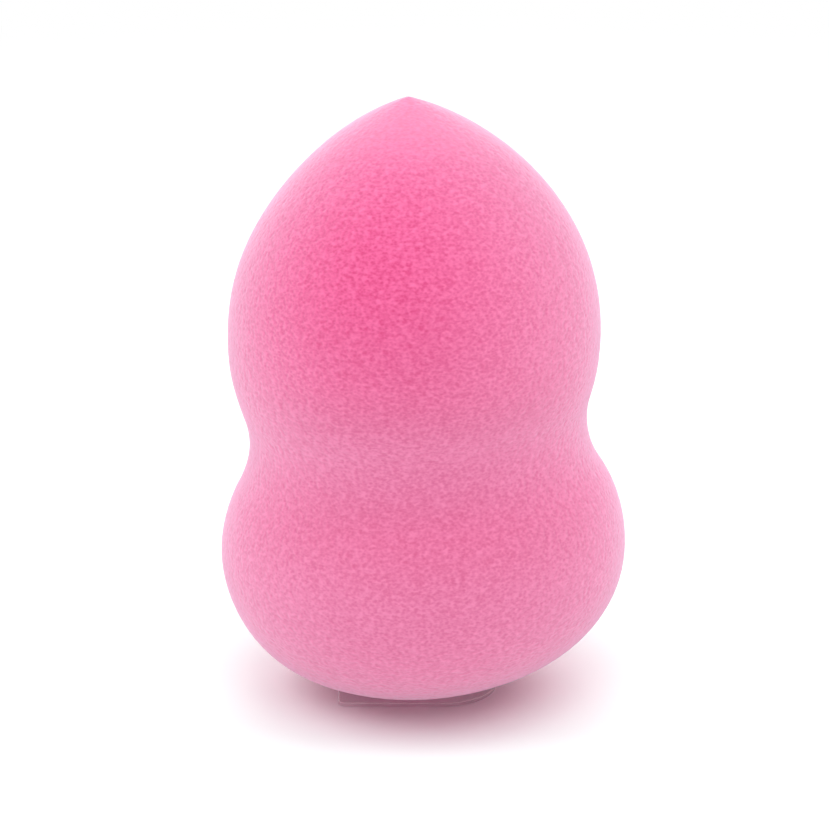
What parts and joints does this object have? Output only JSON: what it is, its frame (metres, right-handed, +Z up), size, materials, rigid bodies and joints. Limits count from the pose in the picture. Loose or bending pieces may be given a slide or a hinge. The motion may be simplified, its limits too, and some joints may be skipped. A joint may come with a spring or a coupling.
{
  "type": "makeup sponge",
  "caption": "Gourd-shaped pink foam makeup sponge with a pinched waist and a pointed tip, standing on a thin clear pad that it lifts off.",
  "frame": {"origin": "centre of the bottom of the part's box: on the pad's underside, below the middle of the sponge's widest ring", "axes": "+Z up along the sponge, +X to the right and +Y away from the viewer in the picture; the tip leans slightly towards -X"},
  "size_m": [0.04, 0.04, 0.0601],
  "materials": {
    "foam": "matte, fine open pores, velvety",
    "clear_film": "clear, glossy"
  },
  "bodies": {
    "pad": {"clear_pad": "clear_film"},
    "sponge": {"foam_body": "foam"}
  },
  "joints": [
    {"name": "sponge_lift", "type": "slide", "parent": "pad", "child": "sponge", "axis": [0, 0, 1], "range_m": [0, 0.03]}
  ]
}
